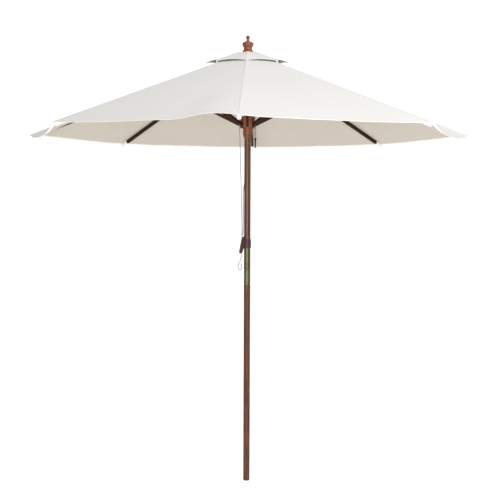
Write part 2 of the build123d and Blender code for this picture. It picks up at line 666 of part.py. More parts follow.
NODES = {
    "lower_pole": lower_pole,
    "pole_sleeve": pole_sleeve,
    "sleeve_screws": sleeve_screws,
    "upper_pole": upper_pole,
    "top_hub": top_hub,
    "hub_wire": hub_wire,
    "crown_patch": crown_patch,
    "finial": finial,
    "finial_stud": finial_stud,
    "runner": runner,
    "pulley_wheel": pulley_wheel,
    "pulley_axle": pulley_axle,
    "pin_eye": pin_eye,
    "pin_chain": pin_chain,
    "locking_pin": locking_pin,
    "cleat": cleat,
    "cleat_screws": cleat_screws,
    "pull_rope": pull_rope,
    "rope_tail": rope_tail,
    "return_rope": return_rope,
}
RIB_NODES = {
    "rib": rib,
    "rib_bracket": rib_bracket,
    "strut": strut,
    "strut_pin": strut_pin,
    "canopy_gore": canopy_gore,
}


def save(name, shape):
    solids = shape if isinstance(shape, list) else shape.solids()
    export_step(Compound(children=list(solids)) if len(solids) > 1 else solids[0], f"parts/{name}.step")


os.makedirs("parts", exist_ok=True)
for name, make in NODES.items():
    save(name, make())
for name, make in RIB_NODES.items():
    shape = make()
    for index in range(1, RIB_COUNT + 1):
        save(f"{name}_{index}", around(shape, index))
print("rib hinge", RIB_HINGE_RADIUS, RIB_HINGE_Z)
print("strut top", STRUT_TOP_R, STRUT_TOP_Z, "strut length", STRUT_LENGTH, "slope", STRUT_SLOPE)
print("files", len(os.listdir("parts")))
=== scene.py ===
"""Wooden market umbrella: canopy, seams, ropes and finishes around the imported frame. Metres."""
import json
from math import atan2, cos, hypot, pi, radians, sin, tan

import bpy
from mathutils import Euler, Matrix, Vector, noise


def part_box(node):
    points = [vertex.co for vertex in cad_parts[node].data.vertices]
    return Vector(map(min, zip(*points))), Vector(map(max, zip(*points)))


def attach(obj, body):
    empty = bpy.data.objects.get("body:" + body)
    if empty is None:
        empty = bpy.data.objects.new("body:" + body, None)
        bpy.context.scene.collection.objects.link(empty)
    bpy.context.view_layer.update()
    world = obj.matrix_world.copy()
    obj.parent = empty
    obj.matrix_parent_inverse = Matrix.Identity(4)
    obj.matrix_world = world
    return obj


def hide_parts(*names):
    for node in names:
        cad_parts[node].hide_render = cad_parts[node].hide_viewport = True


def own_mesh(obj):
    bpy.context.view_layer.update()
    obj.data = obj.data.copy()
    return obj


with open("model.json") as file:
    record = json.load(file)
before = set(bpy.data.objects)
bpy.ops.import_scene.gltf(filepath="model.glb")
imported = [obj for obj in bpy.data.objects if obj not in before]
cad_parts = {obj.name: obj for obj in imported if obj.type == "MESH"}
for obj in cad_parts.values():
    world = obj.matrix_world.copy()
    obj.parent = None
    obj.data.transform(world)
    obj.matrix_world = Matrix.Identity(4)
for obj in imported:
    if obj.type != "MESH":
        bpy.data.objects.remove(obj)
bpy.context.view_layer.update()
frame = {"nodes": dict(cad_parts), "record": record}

MM = 0.001

# ---------------------------------------------------------------- sizes read from the frame

RIBS = 8
HALF_STEP = radians(22.5)
RIM_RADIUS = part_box("canopy_gore_3")[1][0]
PATCH_TOP_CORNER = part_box("crown_patch")[1]
CROWN_RADIUS = PATCH_TOP_CORNER[0]
CROWN_Z = PATCH_TOP_CORNER[2]
JOINTS = {j["name"]: j for j in frame["record"]["behaviour"]["joints"]}
HINGE = Vector(JOINTS["rib_fold_3"]["pos_m"])
HINGE_RADIUS, HINGE_Z = HINGE.x, HINGE.z
STRUT_TOP = Vector(JOINTS["strut_fold_3"]["pos_m"])

# sizes of the CAD part that its bodies do not give
SLOPE = radians(20.7)
RIB_TIP_RADIUS = 1.264
RUNNER_PIVOT_RADIUS = 36.5 * MM
RUNNER_PIVOT_Z = 2.107

# canopy, in the same places as its CAD gores
RIM_Z = 2.051
VENT_OPENING = 0.120
VENT_RIM = 0.243
VENT_RIM_Z = 2.46984
CLOTH = 1.2 * MM
HEM_CURVE = 9 * MM
# slack of the eight panels, panel n between ribs n and n + 1: how far each hem hangs at mid panel
HEM_SAGS = [11 * MM, 40 * MM, 11 * MM, 10 * MM, 10 * MM, 11 * MM, 40 * MM, 12 * MM]
PUCKER = 17 * MM
# how far the vent cap's corners are drawn down towards the canopy, rib by rib
NO_DROPS = [0] * RIBS
VENT_DROPS = [23 * MM, 15 * MM, 0, 0, 0, 0, 0, 15 * MM]
WRINKLE = 1.6 * MM
VENT_SAG = -6 * MM
VENT_CURVE = 15 * MM

# ---------------------------------------------------------------- camera

CAMERA_DISTANCE = 4.850
CAMERA_HEIGHT = 1.7096
CAMERA_AZIMUTH = radians(1.67)
CAMERA_PITCH = radians(3.87)
CAMERA_AIM = radians(0.197)
CAMERA_ROLL = radians(0.23)
SENSOR = 36.0
FOCAL = 59.44


def make_camera():
    data = bpy.data.cameras.new("camera")
    data.sensor_width = SENSOR
    data.lens = FOCAL
    data.clip_end = 60
    camera = bpy.data.objects.new("camera", data)
    bpy.context.scene.collection.objects.link(camera)
    place = (CAMERA_DISTANCE * sin(CAMERA_AZIMUTH), -CAMERA_DISTANCE * cos(CAMERA_AZIMUTH), CAMERA_HEIGHT)
    turn = Euler((pi / 2 - CAMERA_PITCH, 0, CAMERA_AZIMUTH - CAMERA_AIM)).to_matrix()
    roll = Matrix.Rotation(CAMERA_ROLL, 3, "Z")
    camera.matrix_world = Matrix.Translation(place) @ (turn @ roll).to_4x4()
    bpy.context.scene.camera = camera


make_camera()

# ---------------------------------------------------------------- small tools


def linear(text):
    """Linear colour from an sRGB hex value."""
    channels = [int(text[i:i + 2], 16) / 255 for i in (0, 2, 4)]
    return tuple(c / 12.92 if c <= 0.04045 else ((c + 0.055) / 1.055) ** 2.4 for c in channels) + (1.0,)


def add_node(tree, kind, settings=None, inputs=None):
    """Add one node, with its settings and its inputs, each a value or a socket to link."""
    node = tree.nodes.new(kind)
    for name, value in (settings or {}).items():
        setattr(node, name, value)
    for name, value in (inputs or {}).items():
        if isinstance(value, bpy.types.NodeSocket):
            tree.links.new(value, node.inputs[name])
        else:
            node.inputs[name].default_value = value
    return node


def new_material(name):
    material = bpy.data.materials.new(name)
    material.use_nodes = True
    material.node_tree.nodes.clear()
    return material, material.node_tree


def finish_material(tree, shader):
    add_node(tree, "ShaderNodeOutputMaterial", inputs={"Surface": shader.outputs[0]})


# ---------------------------------------------------------------- materials


def oiled_hardwood(name, light, dark, azimuth=None, slope=0.0, coat=0.25, gloss=0.5):
    """Oiled tropical hardwood, planed: red-brown streaks along the piece and a soft sheen.

    The grain runs up the pole, or along a rib at the given azimuth and slope."""
    material, tree = new_material(name)
    place = add_node(tree, "ShaderNodeTexCoord").outputs["Object"]
    if azimuth is not None:
        place = add_node(tree, "ShaderNodeMapping", {}, {
            "Vector": place, "Rotation": (0, 0, -azimuth)}).outputs[0]
        place = add_node(tree, "ShaderNodeMapping", {}, {
            "Vector": place, "Rotation": (0, -slope - pi / 2, 0)}).outputs[0]
    grain_width, grain_length, pore_width = 5 * MM, 160 * MM, 1.2 * MM
    streaks = add_node(tree, "ShaderNodeMapping", {}, {
        "Vector": place, "Scale": (1 / grain_width, 1 / grain_width, 1 / grain_length)})
    grain = add_node(tree, "ShaderNodeTexNoise", {}, {
        "Vector": streaks.outputs[0], "Scale": 1.0, "Detail": 6.0, "Roughness": 0.62, "Distortion": 0.4})
    lines = add_node(tree, "ShaderNodeMapping", {}, {
        "Vector": place, "Scale": (1 / pore_width, 1 / pore_width, 1 / (grain_length / 4))})
    pores = add_node(tree, "ShaderNodeTexNoise", {}, {
        "Vector": lines.outputs[0], "Scale": 1.0, "Detail": 3.0, "Roughness": 0.5})
    patches = add_node(tree, "ShaderNodeTexNoise", {}, {"Vector": place, "Scale": 6.0, "Detail": 2.0})
    strength = add_node(tree, "ShaderNodeMapRange", {}, {
        "Value": grain.outputs["Fac"], "From Min": 0.32, "From Max": 0.68})
    colour = add_node(tree, "ShaderNodeMix", {"data_type": "RGBA"}, {
        0: strength.outputs[0], 6: linear(light), 7: linear(dark)})
    dim = add_node(tree, "ShaderNodeMapRange", {}, {
        "Value": patches.outputs["Fac"], "From Min": 0.3, "From Max": 0.7, "To Min": 0.0, "To Max": 0.35})
    colour = add_node(tree, "ShaderNodeMix", {"data_type": "RGBA", "blend_type": "MULTIPLY"}, {
        0: dim.outputs[0], 6: colour.outputs[2], 7: linear("9a7458")})
    pore_dark = add_node(tree, "ShaderNodeMapRange", {}, {
        "Value": pores.outputs["Fac"], "From Min": 0.55, "From Max": 0.75, "To Min": 0.0, "To Max": 0.5})
    colour = add_node(tree, "ShaderNodeMix", {"data_type": "RGBA"}, {
        0: pore_dark.outputs[0], 6: colour.outputs[2], 7: linear("2b170d")})
    rough = add_node(tree, "ShaderNodeMapRange", {}, {
        "Value": grain.outputs["Fac"], "To Min": 0.34, "To Max": 0.56})
    bump = add_node(tree, "ShaderNodeBump", {}, {
        "Height": pores.outputs["Fac"], "Strength": 0.25, "Distance": 0.4 * MM})
    shader = add_node(tree, "ShaderNodeBsdfPrincipled", {}, {
        "Base Color": colour.outputs[2], "Roughness": rough.outputs[0], "IOR": 1.5,
        "Specular IOR Level": gloss, "Coat Weight": coat, "Coat Roughness": 0.25, "Normal": bump.outputs[0]})
    finish_material(tree, shader)
    return material


def aged_brass(name):
    """Drawn brass tube gone olive with age: broad soft highlight, darker blotches, fine scratches."""
    material, tree = new_material(name)
    place = add_node(tree, "ShaderNodeTexCoord").outputs["Object"]
    blotch = add_node(tree, "ShaderNodeTexNoise", {}, {
        "Vector": place, "Scale": 14.0, "Detail": 3.0, "Roughness": 0.5})
    scratch_place = add_node(tree, "ShaderNodeMapping", {}, {
        "Vector": place, "Scale": (1 / (1.5 * MM), 1 / (1.5 * MM), 1 / (60 * MM))})
    scratches = add_node(tree, "ShaderNodeTexNoise", {}, {
        "Vector": scratch_place.outputs[0], "Scale": 1.0, "Detail": 2.0})
    amount = add_node(tree, "ShaderNodeMapRange", {}, {
        "Value": blotch.outputs["Fac"], "From Min": 0.35, "From Max": 0.7})
    colour = add_node(tree, "ShaderNodeMix", {"data_type": "RGBA"}, {
        0: amount.outputs[0], 6: linear("8c8a68"), 7: linear("6c6a49")})
    rough = add_node(tree, "ShaderNodeMapRange", {}, {
        "Value": scratches.outputs["Fac"], "To Min": 0.32, "To Max": 0.5})
    bump = add_node(tree, "ShaderNodeBump", {}, {
        "Height": scratches.outputs["Fac"], "Strength": 0.15, "Distance": 0.2 * MM})
    shader = add_node(tree, "ShaderNodeBsdfPrincipled", {}, {
        "Base Color": colour.outputs[2], "Metallic": 0.9, "Roughness": rough.outputs[0],
        "Normal": bump.outputs[0]})
    finish_material(tree, shader)
    return material


def zinc_steel(name, tint="8f8a80", shade="55504a"):
    """Zinc-plated steel wire and pressings: grey, slightly mottled, dull shine."""
    material, tree = new_material(name)
    place = add_node(tree, "ShaderNodeTexCoord").outputs["Object"]
    spangle = add_node(tree, "ShaderNodeTexNoise", {}, {"Vector": place, "Scale": 240.0, "Detail": 3.0})
    colour = add_node(tree, "ShaderNodeMix", {"data_type": "RGBA"}, {
        0: spangle.outputs["Fac"], 6: linear(tint), 7: linear(shade)})
    rough = add_node(tree, "ShaderNodeMapRange", {}, {
        "Value": spangle.outputs["Fac"], "To Min": 0.28, "To Max": 0.5})
    bump = add_node(tree, "ShaderNodeBump", {}, {
        "Height": spangle.outputs["Fac"], "Strength": 0.1, "Distance": 0.1 * MM})
    shader = add_node(tree, "ShaderNodeBsdfPrincipled", {}, {
        "Base Color": colour.outputs[2], "Metallic": 0.95, "Roughness": rough.outputs[0],
        "Normal": bump.outputs[0]})
    finish_material(tree, shader)
    return material


def powder_coat(name, light, dark):
    """Powder coat, moulded plastic or thread: even colour, fine orange peel, soft highlight."""
    material, tree = new_material(name)
    grit = 0.9 * MM
    place = add_node(tree, "ShaderNodeTexCoord").outputs["Object"]
    peel = add_node(tree, "ShaderNodeTexNoise", {}, {"Vector": place, "Scale": 1 / grit, "Detail": 2.0})
    wear = add_node(tree, "ShaderNodeTexNoise", {}, {"Vector": place, "Scale": 60.0, "Detail": 4.0})
    colour = add_node(tree, "ShaderNodeMix", {"data_type": "RGBA"}, {
        0: wear.outputs["Fac"], 6: linear(light), 7: linear(dark)})
    rough = add_node(tree, "ShaderNodeMapRange", {}, {
        "Value": wear.outputs["Fac"], "To Min": 0.35, "To Max": 0.55})
    bump = add_node(tree, "ShaderNodeBump", {}, {
        "Height": peel.outputs["Fac"], "Strength": 0.2, "Distance": 0.15 * MM})
    shader = add_node(tree, "ShaderNodeBsdfPrincipled", {}, {
        "Base Color": colour.outputs[2], "Roughness": rough.outputs[0], "Normal": bump.outputs[0]})
    finish_material(tree, shader)
    return material


def woven_polyester(name, light, dark):
    """Plain-woven canopy polyester: matte off-white with a soft sheen and a fine cross weave.

    Real threads are 0.4 mm apart; the weave is drawn at 3.2 mm so that it shows."""
    material, tree = new_material(name)
    thread = 3.2 * MM
    coordinates = add_node(tree, "ShaderNodeTexCoord")
    flat = coordinates.outputs["UV"]
    weave = []
    for direction in ("X", "Y"):
        weave.append(add_node(tree, "ShaderNodeTexWave", {
            "wave_type": "BANDS", "bands_direction": direction, "wave_profile": "SIN"}, {
            "Vector": flat, "Scale": pi / 10 / thread, "Distortion": 0.4, "Detail": 1.0}))
    cloth = add_node(tree, "ShaderNodeMath", {"operation": "MULTIPLY"}, {
        0: weave[0].outputs["Fac"], 1: weave[1].outputs["Fac"]})
    slub_place = add_node(tree, "ShaderNodeMapping", {}, {
        "Vector": flat, "Scale": (1 / (9 * MM), 1 / (70 * MM), 1.0)})
    slub = add_node(tree, "ShaderNodeTexNoise", {}, {
        "Vector": slub_place.outputs[0], "Scale": 1.0, "Detail": 3.0})
    weathering = add_node(tree, "ShaderNodeTexNoise", {}, {
        "Vector": coordinates.outputs["Object"], "Scale": 3.0, "Detail": 4.0})
    tone = add_node(tree, "ShaderNodeMapRange", {}, {
        "Value": weathering.outputs["Fac"], "From Min": 0.3, "From Max": 0.7, "To Max": 0.35})
    colour = add_node(tree, "ShaderNodeMix", {"data_type": "RGBA"}, {
        0: tone.outputs[0], 6: linear(light), 7: linear(dark)})
    shade = add_node(tree, "ShaderNodeMapRange", {}, {
        "Value": cloth.outputs[0], "To Min": 0.10, "To Max": 0.0})
    colour = add_node(tree, "ShaderNodeMix", {"data_type": "RGBA"}, {
        0: shade.outputs[0], 6: colour.outputs[2], 7: linear("b9b2a6")})
    height = add_node(tree, "ShaderNodeMath", {"operation": "ADD"}, {
        0: cloth.outputs[0], 1: slub.outputs["Fac"]})
    bump = add_node(tree, "ShaderNodeBump", {}, {
        "Height": height.outputs[0], "Strength": 0.18, "Distance": 0.4 * MM})
    shader = add_node(tree, "ShaderNodeBsdfPrincipled", {}, {
        "Base Color": colour.outputs[2], "Roughness": 0.85, "IOR": 1.45,
        "Sheen Weight": 0.2, "Sheen Roughness": 0.5, "Normal": bump.outputs[0]})
    finish_material(tree, shader)
    return material


def braided_polyester(name):
    """Braided cord: light grey strands that cross on a slant, so its edge looks faintly beaded."""
    material, tree = new_material(name)
    place = add_node(tree, "ShaderNodeTexCoord").outputs["Object"]
    strand = 3 * MM
    waves = []
    for slant in (1.0, -1.0):
        turned = add_node(tree, "ShaderNodeMapping", {}, {
            "Vector": place, "Rotation": (0, slant * radians(35), 0)})
        waves.append(add_node(tree, "ShaderNodeTexWave", {"bands_direction": "Z"}, {
            "Vector": turned.outputs[0], "Scale": pi / 10 / strand, "Distortion": 0.5}))
    braid = add_node(tree, "ShaderNodeMath", {"operation": "MAXIMUM"}, {
        0: waves[0].outputs["Fac"], 1: waves[1].outputs["Fac"]})
    colour = add_node(tree, "ShaderNodeMix", {"data_type": "RGBA"}, {
        0: braid.outputs[0], 6: linear("6d6b69"), 7: linear("a5a3a1")})
    bump = add_node(tree, "ShaderNodeBump", {}, {
        "Height": braid.outputs[0], "Strength": 0.5, "Distance": 0.5 * MM})
    shader = add_node(tree, "ShaderNodeBsdfPrincipled", {}, {
        "Base Color": colour.outputs[2], "Roughness": 0.8, "Sheen Weight": 0.2, "Normal": bump.outputs[0]})
    finish_material(tree, shader)
    return material


POLE_WOOD = oiled_hardwood("oiled_hardwood_pole", "834b29", "4a240f", coat=0.5)
TURNED_WOOD = oiled_hardwood("oiled_hardwood_turned", "a9623a", "80482a")
HUB_WOOD = oiled_hardwood("oiled_hardwood_hub", "9c5b35", "623519", coat=0.15)
BRASS = aged_brass("aged_brass")
STEEL = zinc_steel("zinc_plated_steel")
DARK_STEEL = zinc_steel("bronzed_steel", "5b4a35", "2e241a")
BROWN_COAT = powder_coat("brown_powder_coat", "5d3d38", "432a26")
PULLEY_NYLON = powder_coat("moulded_nylon", "37322e", "25211e")
CANOPY_CLOTH = woven_polyester("woven_polyester_face", "f0efec", "e8e6e2")
# canopy underside: the same cloth in a darker beige, painted shade for the side out of the light
CANOPY_BACK_PAINTED_SHADE = woven_polyester("woven_polyester_back_painted_shade", "beb5a9", "b4ab9d")
ROPE_BRAID = braided_polyester("braided_polyester")
THREAD = powder_coat("sewing_thread", "d9d4ca", "c9c3b8")


def give(node_name, material):
    """Give a CAD node its finish."""
    for slot in frame["nodes"][node_name].material_slots:
        slot.material = material


def rib_azimuth(index):
    return radians(-90 + 45 * (index - 1))


def finish_frame():
    strut_slope = atan2(STRUT_TOP.z - RUNNER_PIVOT_Z, STRUT_TOP.x - RUNNER_PIVOT_RADIUS)
    for name in ("lower_pole", "upper_pole"):
        give(name, POLE_WOOD)
    give("finial", TURNED_WOOD)
    for name in ("top_hub", "runner"):
        give(name, HUB_WOOD)
    give("pole_sleeve", BRASS)
    for name in ("sleeve_screws", "hub_wire", "finial_stud", "pulley_axle", "cleat_screws"):
        give(name, STEEL)
    for name in ("pin_eye", "pin_chain", "locking_pin"):
        give(name, DARK_STEEL)
    give("cleat", BROWN_COAT)
    give("pulley_wheel", PULLEY_NYLON)
    for index in range(1, RIBS + 1):
        azimuth = rib_azimuth(index)
        # ribs and struts are the pole's wood given far darker colours: painted shade for the shadow under the
        # canopy
        rib_wood_painted_shade = oiled_hardwood(f"oiled_hardwood_rib_painted_shade_{index}", "3f1f10", "221008", azimuth, SLOPE, 0.0, 0.2)
        strut_wood_painted_shade = oiled_hardwood(
            f"oiled_hardwood_strut_painted_shade_{index}", "4a2412", "28120a", azimuth, -strut_slope, 0.0, 0.2)
        give(f"rib_{index}", rib_wood_painted_shade)
        give(f"strut_{index}", strut_wood_painted_shade)
        give(f"rib_bracket_{index}", STEEL)
        give(f"strut_pin_{index}", STEEL)


finish_frame()

# ---------------------------------------------------------------- ropes

ROPE_DIAMETER = 5 * MM
# routes of the three ropes, in millimetres, the same points as the CAD ropes follow
LIFT_ROPE = [
    (31.15, 9.0, 2168.0), (16.15, 0.0, 2210.0), (16.15, 0.0, 2256.15), (-16.15, 0.0, 2256.15),
    (-16.15, 0.0, 2216.0), (-36.0, -12.5, 2196.0), (-46.0, -18.4, 2162.0), (-46.3, -19.4, 2110.0),
    (-44.6, -19.9, 2046.0), (-42.6, -20.3, 1983.0), (-41.1, -20.8, 1919.0), (-39.2, -21.2, 1855.0),
    (-37.0, -21.5, 1791.0), (-34.9, -21.7, 1727.0), (-33.2, -21.9, 1663.0), (-31.7, -22.0, 1599.0),
    (-30.5, -22.0, 1535.0), (-29.6, -21.8, 1490.0), (-31.8, -21.6, 1449.0),
]
TAIL_LOOP = [
    (-34.5, -23.5, 1357.0), (-33.5, -24.0, 1338.0), (-38.5, -23.0, 1321.0), (-48.5, -21.5, 1304.0),
    (-53.5, -20.8, 1287.0), (-51.0, -20.5, 1267.0), (-36.0, -21.0, 1262.0), (-32.0, -22.8, 1280.0),
    (-32.5, -24.0, 1300.0),
]
RETURN_ROPE = [
    (-3.0, 10.0, 1830.0), (-11.8, 22.8, 1800.0), (-19.8, 13.8, 1765.0), (-23.4, 4.0, 1728.0),
    (-23.8, -2.0, 1685.0), (-23.7, -5.0, 1630.0), (-23.6, -6.0, 1572.0), (-23.6, -6.5, 1520.0),
    (-24.5, -8.0, 1465.0),
]


def rope(name, route, node):
    """A rope on a smooth line through its route's points, which are in millimetres."""
    curve = bpy.data.curves.new(name, "CURVE")
    curve.dimensions = "3D"
    curve.bevel_depth = ROPE_DIAMETER / 2
    curve.bevel_resolution = 3
    curve.resolution_u = 10
    curve.use_fill_caps = True
    spline = curve.splines.new("NURBS")
    spline.points.add(len(route) - 1)
    for point, place in zip(spline.points, route):
        point.co = [c * MM for c in place] + [1.0]
    spline.order_u = 3
    spline.use_endpoint_u = True
    curve.materials.append(ROPE_BRAID)
    piece = bpy.data.objects.new(name, curve)
    bpy.context.scene.collection.objects.link(piece)
    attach(piece, "mast")
    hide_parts(node)


rope("lift_rope", LIFT_ROPE, "pull_rope")
rope("lift_rope_tail", TAIL_LOOP, "rope_tail")
rope("lift_rope_return", RETURN_ROPE, "return_rope")

# ---------------------------------------------------------------- mesh tools


def mesh_piece(name, points, faces, materials, uvs=None, face_slots=None, crease=radians(38)):
    """Mesh object from points and faces; uvs holds one flat place for each point."""
    mesh = bpy.data.meshes.new(name)
    mesh.from_pydata([tuple(p) for p in points], [], faces)
    if uvs:
        layer = mesh.uv_layers.new(name="flat")
        for loop in mesh.loops:
            layer.data[loop.index].uv = uvs[loop.vertex_index]
    for material in materials:
        mesh.materials.append(material)
    if face_slots:
        mesh.polygons.foreach_set("material_index", face_slots)
    mesh.polygons.foreach_set("use_smooth", [True] * len(mesh.polygons))
    mesh.set_sharp_from_angle(angle=crease)
    mesh.update()
    piece = bpy.data.objects.new(name, mesh)
    bpy.context.scene.collection.objects.link(piece)
    return piece


class Panels:
    """The cloth's surface about one rib: two half panels that meet in a ridge on the rib."""

    def __init__(self, index, inner, rim, rim_z, rise, sags, curve, wrinkle, drops=NO_DROPS, pucker=0.0):
        """The sags are those of the panels before and after the rib; the drops are every rib's."""
        self.azimuth = rib_azimuth(index)
        self.index = index
        self.drops = drops
        self.pucker = pucker
        self.inner = inner
        self.rim = rim
        self.rim_z = rim_z
        self.rise = rise / cos(HALF_STEP)
        self.sags = sags
        self.curve = curve
        self.wrinkle = wrinkle

    def place(self, across, along, lift=0.0):
        """Point at across, -1 to 1 from mid panel to mid panel, and along, 0 at the top to 1 at the rim."""
        side = 1 if across >= 0 else -1
        share = abs(across)
        radius = self.inner + (self.rim - self.inner) * along
        middle = radius * cos(HALF_STEP)
        belly = 1 - (1 - share) ** 2.5
        middle -= self.curve * belly * max(along, 0) ** 6
        sideways = -side * middle * tan(HALF_STEP) * (1 - share)
        height = self.rim_z + (self.rim * cos(HALF_STEP) - middle) * self.rise
        height -= self.sags[1 if side > 0 else 0] * belly * max(along, 0) ** 3
        if side < 0:
            height += self.pucker * sin(pi * min(1, share / 0.6)) * max(along, 0) ** 4
        own, beside = self.drops[self.index - 1], self.drops[(self.index - 1 + side) % RIBS]
        height -= (own + (beside - own) * share / 2) * max(along, 0) ** 2
        panel = (self.index + (0 if side > 0 else -1)) % RIBS
        ripple = noise.noise(Vector((sideways * 9, middle * 1.4, 5.1 * panel)))
        ripple += 0.5 * noise.noise(Vector((sideways * 26, middle * 2.2, 3.7 * panel + 40)))
        height += self.wrinkle * ripple * min(1, 6 * share) * along
        turn = self.azimuth + side * HALF_STEP
        x = middle * cos(turn) - sideways * sin(turn)
        y = middle * sin(turn) + sideways * cos(turn)
        return Vector((x, y, height + lift))

    def flat(self, across, along):
        """Place on the flat cut, in metres."""
        radius = self.inner + (self.rim - self.inner) * along
        return (across * radius * sin(HALF_STEP), radius / cos(SLOPE))


def sheet_piece(name, panels, columns, rows):
    """Thin closed sheet over the two half panels, its face on top and its back below; the back is a darker
    beige copy of the same cloth, which is painted shade.
    """
    points, uvs, faces, slots = [], [], [], []
    wide, high = 2 * columns + 1, rows + 1
    for lift in (0.0, -CLOTH):
        for row in range(high):
            for column in range(wide):
                across, along = column / columns - 1, row / rows
                points.append(panels.place(across, along, lift))
                uvs.append(panels.flat(across, along))
    layer = wide * high

    def spot(row, column, back=0):
        return back * layer + row * wide + column

    for row in range(rows):
        for column in range(wide - 1):
            corners = [spot(row, column), spot(row + 1, column)]
            corners += [spot(row + 1, column + 1), spot(row, column + 1)]
            faces.append(corners)
            slots.append(0)
            faces.append([c + layer for c in reversed(corners)])
            slots.append(1)
    border = [(0, c) for c in range(wide)] + [(r, wide - 1) for r in range(1, high)]
    border += [(rows, c) for c in range(wide - 2, -1, -1)] + [(r, 0) for r in range(rows - 1, 0, -1)]
    for here, there in zip(border, border[1:] + border[:1]):
        faces.append([spot(*here), spot(*there), spot(*there, 1), spot(*here, 1)])
        slots.append(0)
    return mesh_piece(name, points, faces, [CANOPY_CLOTH, CANOPY_BACK_PAINTED_SHADE], uvs, slots)


def band_piece(name, rings, materials, uvs=None):
    """Closed band through rings of points that all have the same count, capped at both ends."""
    count = len(rings[0])
    points = [p for ring in rings for p in ring]
    faces = []
    for number in range(len(rings) - 1):
        for side in range(count):
            a, b = number * count + side, number * count + (side + 1) % count
            faces.append([a, b, b + count, a + count])
    faces.append(list(range(count - 1, -1, -1)))
    faces.append([(len(rings) - 1) * count + side for side in range(count)])
    return mesh_piece(name, points, faces, materials, uvs)


def hem_piece(name, panels, width, columns):
    """Folded hem around the rim: a doubled edge that stands a little proud of the cloth."""
    reach = panels.rim - panels.inner
    start, over = 1 - width / reach, 1 + 1.6 * MM / reach
    section = [
        (start, 0.4 * MM), (start + 0.15 * (1 - start), 1.0 * MM), (1.0, 1.1 * MM), (over, 0.3 * MM),
        (over, -CLOTH - 0.3 * MM), (1.0, -CLOTH - 1.1 * MM), (start, -CLOTH - 0.8 * MM),
    ]
    rings, uvs = [], []
    for column in range(2 * columns + 1):
        across = column / columns - 1
        rings.append([panels.place(across, along, lift) for along, lift in section])
        uvs += [panels.flat(across, along) for along, _ in section]
    return band_piece(name, rings, [CANOPY_CLOTH], uvs)


def seam_piece(name, panels, half_width, rows):
    """Felled seam over the rib: a narrow raised tape that follows the ridge."""
    rings, uvs = [], []
    for row in range(rows + 1):
        along = row / rows
        radius = panels.inner + (panels.rim - panels.inner) * along
        edge = min(0.5, half_width / (radius * sin(HALF_STEP)))
        section = [(-edge, 0.2 * MM), (-0.8 * edge, 1.0 * MM), (0.0, 1.3 * MM), (0.8 * edge, 1.0 * MM),
                   (edge, 0.2 * MM), (0.0, -0.6 * MM)]
        rings.append([panels.place(across, along, lift) for across, lift in section])
        uvs += [panels.flat(across, along) for across, _ in section]
    return band_piece(name, rings, [CANOPY_CLOTH], uvs)


def stitches_piece(name, lines):
    """Rows of thread stitches: each one a low six-sided bead on the cloth.

    Real stitches are 3 mm long; these are drawn longer so that the rows show."""
    pitch, length, width, height = 9 * MM, 5.5 * MM, 1.1 * MM, 0.5 * MM
    points, faces = [], []
    for line in lines:
        total = sum((b - a).length for a, b in zip(line, line[1:]))
        count = int(total / pitch)
        for number in range(count):
            wanted = (number + 0.5) * pitch
            for a, b in zip(line, line[1:]):
                if wanted <= (b - a).length:
                    break
                wanted -= (b - a).length
            forward = (b - a).normalized()
            centre = a + forward * wanted
            side = forward.cross(Vector((0, 0, 1))).normalized()
            up = side.cross(forward).normalized()
            first = len(points)
            points += [
                centre - forward * length / 2, centre + side * width / 2, centre + forward * length / 2,
                centre - side * width / 2, centre + up * height, centre - up * height,
            ]
            ring = [first, first + 1, first + 2, first + 3]
            for here, there in zip(ring, ring[1:] + ring[:1]):
                faces.append([here, there, first + 4])
                faces.append([there, here, first + 5])
    return mesh_piece(name, points, faces, [THREAD], crease=radians(80))


# ---------------------------------------------------------------- canopy

MAIN_RISE = tan(SLOPE)
VENT_RISE = (CROWN_Z - VENT_RIM_Z) / (VENT_RIM - CROWN_RADIUS)


def sew_to_rib(piece, index):
    """The piece moves with rib index, on a mesh of its own."""
    body = f"rib_body_{index}"
    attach(piece, body)
    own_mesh(piece)


def pocket_piece(name, index):
    """Reinforced corner pocket: a pouch sewn round the rib's tip."""
    azimuth = rib_azimuth(index)
    out = Vector((cos(azimuth), sin(azimuth), 0))
    side = Vector((-sin(azimuth), cos(azimuth), 0))
    along = out * cos(SLOPE) - Vector((0, 0, sin(SLOPE)))
    up = side.cross(along) * -1
    tip = out * RIB_TIP_RADIUS + Vector((0, 0, HINGE_Z - (RIB_TIP_RADIUS - HINGE_RADIUS) * tan(SLOPE)))
    stations = [(-62, 8.2, -9.0), (-60, 9.4, -11.6), (-40, 9.7, -12.0), (-18, 9.9, -12.4), (-4, 9.9, -12.6),
                (1.2, 9.0, -11.8), (2.6, 6.5, -9.0)]
    rings = []
    top = 11.2
    for distance, half_width, floor in stations:
        ring = []
        for corner in range(16):
            angle = 2 * pi * corner / 16
            flat_x = abs(cos(angle)) ** 0.35 * (1 if cos(angle) >= 0 else -1)
            flat_z = abs(sin(angle)) ** 0.35 * (1 if sin(angle) >= 0 else -1)
            height = (top + floor) / 2 + flat_z * (top - floor) / 2
            ring.append(tip + along * distance * MM + side * flat_x * half_width * MM + up * height * MM)
        rings.append(ring)
    return band_piece(name, rings, [CANOPY_CLOTH])


